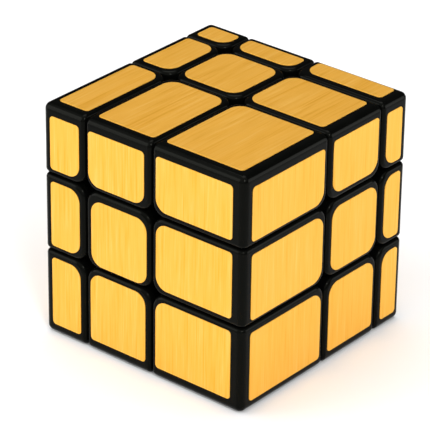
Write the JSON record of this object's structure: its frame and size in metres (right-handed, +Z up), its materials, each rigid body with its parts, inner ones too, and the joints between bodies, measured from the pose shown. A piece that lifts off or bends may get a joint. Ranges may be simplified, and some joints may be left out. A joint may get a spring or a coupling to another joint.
{
  "type": "shape-shifting twisty cube",
  "caption": "Twisty puzzle cube whose layers differ in thickness and turn on a screwed core; black plastic blocks with rounded edges carry brushed gold foil stickers.",
  "frame": {"origin": "middle of the bottom face, on the surface that the cube stands on", "axes": "+X to the thick right layer, +Y from the thick front layer to the thin back layer, +Z up"},
  "size_m": [0.057, 0.057, 0.057],
  "materials": {
    "black_plastic": "injection moulded, satin gloss",
    "gold_foil": "metallised plastic foil, brushed along one direction",
    "core_plastic": "injection moulded, matte",
    "screw_steel": "zinc plated",
    "spring_steel": "drawn spring wire"
  },
  "bodies": {
    "core": {"core": "core_plastic", "centre_screws": "screw_steel", "centre_washers": "screw_steel", "centre_springs": "spring_steel"},
    "corner_bottom_front_left": {"corner_bottom_front_left": "black_plastic", "corner_bottom_front_left_stickers": "gold_foil"},
    "edge_front_left": {"edge_front_left": "black_plastic", "edge_front_left_stickers": "gold_foil"},
    "corner_top_front_left": {"corner_top_front_left": "black_plastic", "corner_top_front_left_stickers": "gold_foil"},
    "edge_bottom_left": {"edge_bottom_left": "black_plastic", "edge_bottom_left_stickers": "gold_foil"},
    "centre_left": {"centre_left": "black_plastic", "centre_left_stickers": "gold_foil"},
    "edge_top_left": {"edge_top_left": "black_plastic", "edge_top_left_stickers": "gold_foil"},
    "corner_bottom_back_left": {"corner_bottom_back_left": "black_plastic", "corner_bottom_back_left_stickers": "gold_foil"},
    "edge_back_left": {"edge_back_left": "black_plastic", "edge_back_left_stickers": "gold_foil"},
    "corner_top_back_left": {"corner_top_back_left": "black_plastic", "corner_top_back_left_stickers": "gold_foil"},
    "edge_bottom_front": {"edge_bottom_front": "black_plastic", "edge_bottom_front_stickers": "gold_foil"},
    "centre_front": {"centre_front": "black_plastic", "centre_front_stickers": "gold_foil"},
    "edge_top_front": {"edge_top_front": "black_plastic", "edge_top_front_stickers": "gold_foil"},
    "centre_bottom": {"centre_bottom": "black_plastic", "centre_bottom_stickers": "gold_foil"},
    "centre_top": {"centre_top": "black_plastic", "centre_top_stickers": "gold_foil"},
    "edge_bottom_back": {"edge_bottom_back": "black_plastic", "edge_bottom_back_stickers": "gold_foil"},
    "centre_back": {"centre_back": "black_plastic", "centre_back_stickers": "gold_foil"},
    "edge_top_back": {"edge_top_back": "black_plastic", "edge_top_back_stickers": "gold_foil"},
    "corner_bottom_front_right": {"corner_bottom_front_right": "black_plastic", "corner_bottom_front_right_stickers": "gold_foil"},
    "edge_front_right": {"edge_front_right": "black_plastic", "edge_front_right_stickers": "gold_foil"},
    "corner_top_front_right": {"corner_top_front_right": "black_plastic", "corner_top_front_right_stickers": "gold_foil"},
    "edge_bottom_right": {"edge_bottom_right": "black_plastic", "edge_bottom_right_stickers": "gold_foil"},
    "centre_right": {"centre_right": "black_plastic", "centre_right_stickers": "gold_foil"},
    "edge_top_right": {"edge_top_right": "black_plastic", "edge_top_right_stickers": "gold_foil"},
    "corner_bottom_back_right": {"corner_bottom_back_right": "black_plastic", "corner_bottom_back_right_stickers": "gold_foil"},
    "edge_back_right": {"edge_back_right": "black_plastic", "edge_back_right_stickers": "gold_foil"},
    "corner_top_back_right": {"corner_top_back_right": "black_plastic", "corner_top_back_right_stickers": "gold_foil"}
  },
  "joints": [
    {"name": "left_turn", "type": "hinge", "parent": "core", "child": "centre_left", "pos_m": [-0.00665, 0.00955, 0.03045], "axis": [1, 0, 0], "continuous": true},
    {"name": "right_turn", "type": "hinge", "parent": "core", "child": "centre_right", "pos_m": [-0.00665, 0.00955, 0.03045], "axis": [1, 0, 0], "continuous": true},
    {"name": "front_turn", "type": "hinge", "parent": "core", "child": "centre_front", "pos_m": [-0.00665, 0.00955, 0.03045], "axis": [0, 1, 0], "continuous": true},
    {"name": "back_turn", "type": "hinge", "parent": "core", "child": "centre_back", "pos_m": [-0.00665, 0.00955, 0.03045], "axis": [0, 1, 0], "continuous": true},
    {"name": "bottom_turn", "type": "hinge", "parent": "core", "child": "centre_bottom", "pos_m": [-0.00665, 0.00955, 0.03045], "axis": [0, 0, 1], "continuous": true},
    {"name": "top_turn", "type": "hinge", "parent": "core", "child": "centre_top", "pos_m": [-0.00665, 0.00955, 0.03045], "axis": [0, 0, 1], "continuous": true},
    {"name": "corner_bottom_front_left_turn", "type": "hinge", "parent": "edge_bottom_front", "child": "corner_bottom_front_left", "pos_m": [-0.00665, 0.00955, 0.03045], "axis": [1, 0, 0], "continuous": true},
    {"name": "edge_front_left_turn", "type": "hinge", "parent": "centre_left", "child": "edge_front_left", "pos_m": [-0.00665, 0.00955, 0.03045], "axis": [0, 1, 0], "continuous": true},
    {"name": "corner_top_front_left_turn", "type": "hinge", "parent": "edge_top_front", "child": "corner_top_front_left", "pos_m": [-0.00665, 0.00955, 0.03045], "axis": [1, 0, 0], "continuous": true},
    {"name": "edge_bottom_left_turn", "type": "hinge", "parent": "centre_bottom", "child": "edge_bottom_left", "pos_m": [-0.00665, 0.00955, 0.03045], "axis": [1, 0, 0], "continuous": true},
    {"name": "edge_top_left_turn", "type": "hinge", "parent": "centre_top", "child": "edge_top_left", "pos_m": [-0.00665, 0.00955, 0.03045], "axis": [1, 0, 0], "continuous": true},
    {"name": "corner_bottom_back_left_turn", "type": "hinge", "parent": "edge_bottom_back", "child": "corner_bottom_back_left", "pos_m": [-0.00665, 0.00955, 0.03045], "axis": [1, 0, 0], "continuous": true},
    {"name": "edge_back_left_turn", "type": "hinge", "parent": "centre_left", "child": "edge_back_left", "pos_m": [-0.00665, 0.00955, 0.03045], "axis": [0, 1, 0], "continuous": true},
    {"name": "corner_top_back_left_turn", "type": "hinge", "parent": "edge_top_back", "child": "corner_top_back_left", "pos_m": [-0.00665, 0.00955, 0.03045], "axis": [1, 0, 0], "continuous": true},
    {"name": "edge_bottom_front_turn", "type": "hinge", "parent": "centre_front", "child": "edge_bottom_front", "pos_m": [-0.00665, 0.00955, 0.03045], "axis": [0, 0, 1], "continuous": true},
    {"name": "edge_top_front_turn", "type": "hinge", "parent": "centre_front", "child": "edge_top_front", "pos_m": [-0.00665, 0.00955, 0.03045], "axis": [0, 0, 1], "continuous": true},
    {"name": "edge_bottom_back_turn", "type": "hinge", "parent": "centre_back", "child": "edge_bottom_back", "pos_m": [-0.00665, 0.00955, 0.03045], "axis": [0, 0, 1], "continuous": true},
    {"name": "edge_top_back_turn", "type": "hinge", "parent": "centre_back", "child": "edge_top_back", "pos_m": [-0.00665, 0.00955, 0.03045], "axis": [0, 0, 1], "continuous": true},
    {"name": "corner_bottom_front_right_turn", "type": "hinge", "parent": "edge_bottom_front", "child": "corner_bottom_front_right", "pos_m": [-0.00665, 0.00955, 0.03045], "axis": [1, 0, 0], "continuous": true},
    {"name": "edge_front_right_turn", "type": "hinge", "parent": "centre_right", "child": "edge_front_right", "pos_m": [-0.00665, 0.00955, 0.03045], "axis": [0, 1, 0], "continuous": true},
    {"name": "corner_top_front_right_turn", "type": "hinge", "parent": "edge_top_front", "child": "corner_top_front_right", "pos_m": [-0.00665, 0.00955, 0.03045], "axis": [1, 0, 0], "continuous": true},
    {"name": "edge_bottom_right_turn", "type": "hinge", "parent": "centre_bottom", "child": "edge_bottom_right", "pos_m": [-0.00665, 0.00955, 0.03045], "axis": [1, 0, 0], "continuous": true},
    {"name": "edge_top_right_turn", "type": "hinge", "parent": "centre_top", "child": "edge_top_right", "pos_m": [-0.00665, 0.00955, 0.03045], "axis": [1, 0, 0], "continuous": true},
    {"name": "corner_bottom_back_right_turn", "type": "hinge", "parent": "edge_bottom_back", "child": "corner_bottom_back_right", "pos_m": [-0.00665, 0.00955, 0.03045], "axis": [1, 0, 0], "continuous": true},
    {"name": "edge_back_right_turn", "type": "hinge", "parent": "centre_right", "child": "edge_back_right", "pos_m": [-0.00665, 0.00955, 0.03045], "axis": [0, 1, 0], "continuous": true},
    {"name": "corner_top_back_right_turn", "type": "hinge", "parent": "edge_top_back", "child": "corner_top_back_right", "pos_m": [-0.00665, 0.00955, 0.03045], "axis": [1, 0, 0], "continuous": true}
  ],
  "couplings": [
    {"joint": "corner_bottom_front_left_turn", "follows": "left_turn", "ratio": 1},
    {"joint": "edge_front_left_turn", "follows": "front_turn", "ratio": 1},
    {"joint": "corner_top_front_left_turn", "follows": "left_turn", "ratio": 1},
    {"joint": "edge_bottom_left_turn", "follows": "left_turn", "ratio": 1},
    {"joint": "edge_top_left_turn", "follows": "left_turn", "ratio": 1},
    {"joint": "corner_bottom_back_left_turn", "follows": "left_turn", "ratio": 1},
    {"joint": "edge_back_left_turn", "follows": "back_turn", "ratio": 1},
    {"joint": "corner_top_back_left_turn", "follows": "left_turn", "ratio": 1},
    {"joint": "edge_bottom_front_turn", "follows": "bottom_turn", "ratio": 1},
    {"joint": "edge_top_front_turn", "follows": "top_turn", "ratio": 1},
    {"joint": "edge_bottom_back_turn", "follows": "bottom_turn", "ratio": 1},
    {"joint": "edge_top_back_turn", "follows": "top_turn", "ratio": 1},
    {"joint": "corner_bottom_front_right_turn", "follows": "right_turn", "ratio": 1},
    {"joint": "edge_front_right_turn", "follows": "front_turn", "ratio": 1},
    {"joint": "corner_top_front_right_turn", "follows": "right_turn", "ratio": 1},
    {"joint": "edge_bottom_right_turn", "follows": "right_turn", "ratio": 1},
    {"joint": "edge_top_right_turn", "follows": "right_turn", "ratio": 1},
    {"joint": "corner_bottom_back_right_turn", "follows": "right_turn", "ratio": 1},
    {"joint": "edge_back_right_turn", "follows": "back_turn", "ratio": 1},
    {"joint": "corner_top_back_right_turn", "follows": "right_turn", "ratio": 1}
  ]
}
